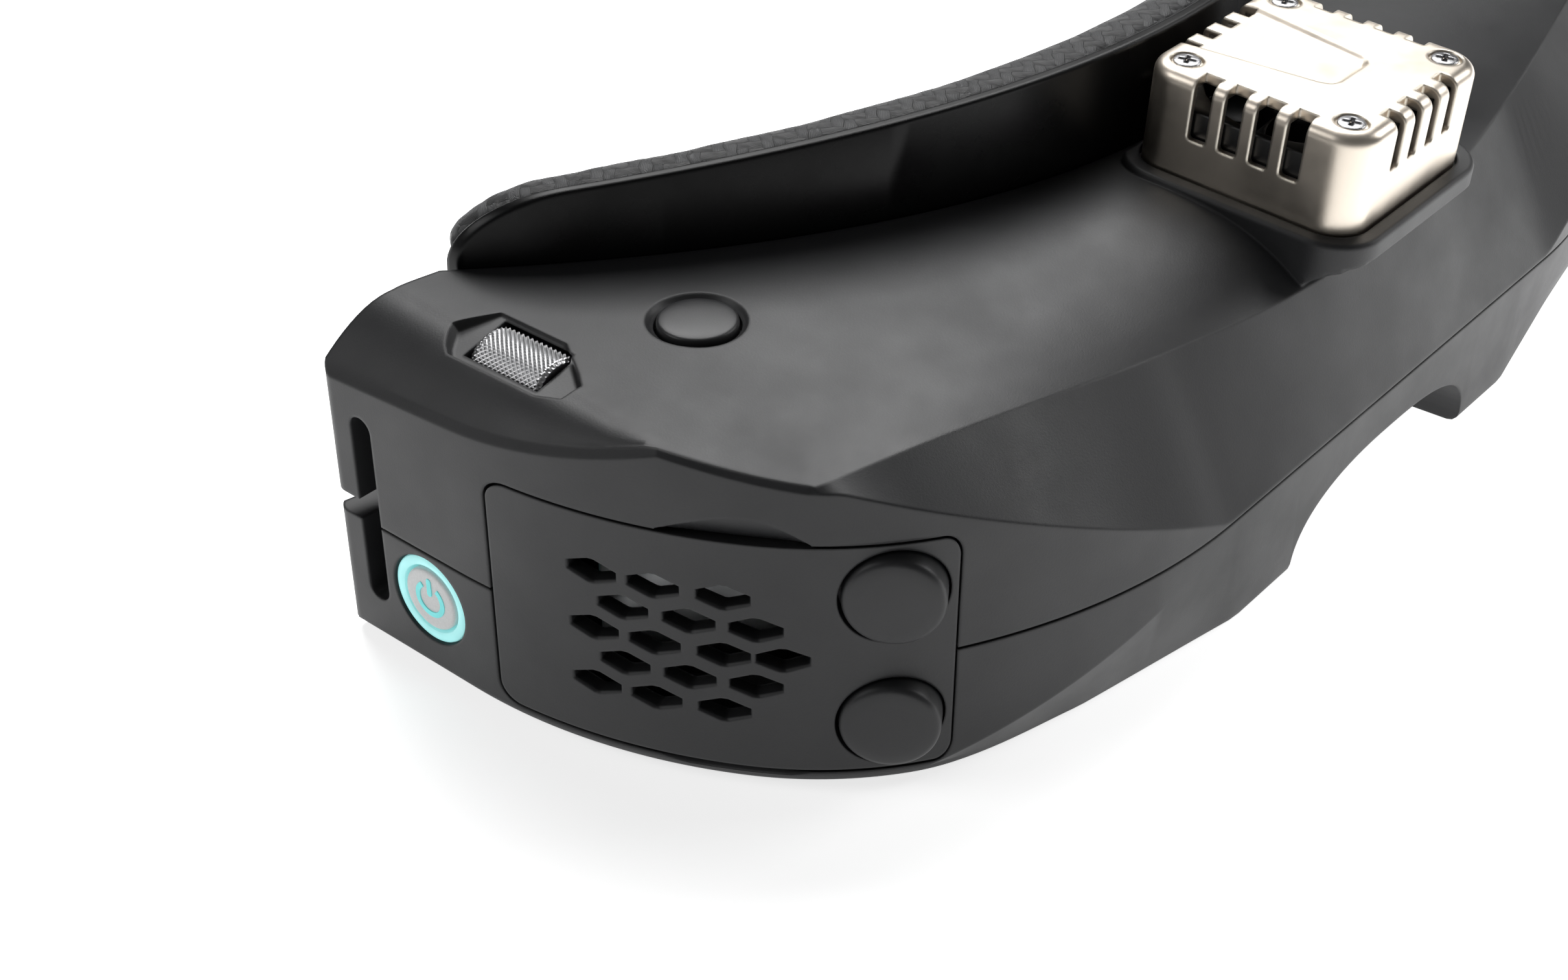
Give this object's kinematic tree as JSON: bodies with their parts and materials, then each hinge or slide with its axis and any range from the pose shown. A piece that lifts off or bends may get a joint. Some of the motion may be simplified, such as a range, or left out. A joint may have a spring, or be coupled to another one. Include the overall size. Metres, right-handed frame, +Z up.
{
  "type": "fpv goggles",
  "caption": "Wearable video goggles with a padded face plate, sliding twin optics, a cooling fan, a jog wheel, buttons and a receiver bay behind a vented side cover.",
  "frame": {"origin": "centre of the bounding box at the plane that the goggles rest on", "axes": "+X towards the wearer's left, +Y from the front wall towards the wearer's face, +Z up"},
  "size_m": [0.1852, 0.0768, 0.051],
  "materials": {
    "housing_plastic": "fine matte moulded texture",
    "face_plate_plastic": "satin moulded",
    "pad_textile": "woven textile over foam",
    "fan_cover_metal": "champagne metallic",
    "screw_steel": "flat head",
    "dark_screw": "black oxide",
    "fan_plastic": "moulded",
    "wheel_metal": "diamond knurl",
    "axle_steel": "ground",
    "control_plastic": "satin",
    "power_plastic": "satin, lit symbol area",
    "light_ring": "diffuser, lit",
    "cover_plastic": "fine matte moulded texture",
    "cap_rubber": "soft matte",
    "connector_brass": "plated",
    "component_plastic": "moulded",
    "connector_steel": "tinned shell",
    "board_laminate": "solder resist",
    "lens_glass": "coated",
    "display_glass": "dark panel"
  },
  "bodies": {
    "housing": {"upper_housing": "housing_plastic", "lower_housing": "housing_plastic", "faceplate": "face_plate_plastic", "face_pad": "pad_textile", "fan_cover": "fan_cover_metal", "fan_screw_1": "screw_steel", "fan_screw_2": "screw_steel", "fan_screw_3": "screw_steel", "fan_screw_4": "screw_steel", "housing_screw_1": "dark_screw", "housing_screw_2": "dark_screw", "housing_screw_3": "dark_screw", "housing_screw_4": "dark_screw", "fan_frame": "fan_plastic", "jog_axle": "axle_steel", "ipd_rod_left": "axle_steel", "ipd_rod_right": "axle_steel", "power_light_ring": "light_ring", "port_panel": "cover_plastic", "antenna_connector_upper": "connector_brass", "antenna_connector_lower": "connector_brass", "jog_encoder": "component_plastic", "menu_switch": "component_plastic", "power_switch": "component_plastic", "dc_jack": "component_plastic", "audio_jack": "component_plastic", "video_port": "connector_steel", "card_slot": "connector_steel", "receiver_module": "connector_steel", "main_board": "board_laminate", "port_board": "board_laminate"},
    "fan_rotor": {"fan_rotor": "fan_plastic"},
    "jog_wheel": {"jog_wheel": "wheel_metal"},
    "menu_button": {"menu_button": "control_plastic"},
    "power_button": {"power_button": "power_plastic"},
    "bay_cover": {"bay_cover": "cover_plastic"},
    "antenna_cap_upper": {"antenna_cap_upper": "cap_rubber"},
    "antenna_cap_lower": {"antenna_cap_lower": "cap_rubber"},
    "optic_right": {"lens_barrel_right": "component_plastic", "lens_right": "lens_glass", "display_right": "display_glass", "ipd_knob_right": "control_plastic"},
    "optic_left": {"lens_barrel_left": "component_plastic", "lens_left": "lens_glass", "display_left": "display_glass", "ipd_knob_left": "control_plastic"}
  },
  "joints": [
    {"name": "fan_spin", "type": "hinge", "parent": "housing", "child": "fan_rotor", "pos_m": [0, -0.02199, 0.0382], "axis": [0, -0.0506, 0.9987], "continuous": true},
    {"name": "jog_spin", "type": "hinge", "parent": "housing", "child": "jog_wheel", "pos_m": [-0.08296, 0.01431, 0.03496], "axis": [0, 1, 0], "continuous": true},
    {"name": "menu_press", "type": "slide", "parent": "housing", "child": "menu_button", "axis": [0, 0, -1], "range_m": [0, 0.0006], "stiffness_N_per_m": 500, "springref_m": -0.0004},
    {"name": "power_press", "type": "slide", "parent": "housing", "child": "power_button", "axis": [1, 0, 0], "range_m": [0, 0.0006], "stiffness_N_per_m": 500, "springref_m": -0.0004},
    {"name": "bay_cover_pull", "type": "slide", "parent": "housing", "child": "bay_cover", "axis": [-0.7986, -0.6018, 0], "range_m": [0, 0.04]},
    {"name": "antenna_cap_upper_pull", "type": "slide", "parent": "housing", "child": "antenna_cap_upper", "axis": [-0.7986, -0.6018, 0], "range_m": [0, 0.012]},
    {"name": "antenna_cap_lower_pull", "type": "slide", "parent": "housing", "child": "antenna_cap_lower", "axis": [-0.7986, -0.6018, 0], "range_m": [0, 0.012]},
    {"name": "ipd_right", "type": "slide", "parent": "housing", "child": "optic_right", "axis": [1, 0, 0], "range_m": [-0.0035, 0.0035]},
    {"name": "ipd_left", "type": "slide", "parent": "housing", "child": "optic_left", "axis": [1, 0, 0], "range_m": [-0.0035, 0.0035]}
  ]
}
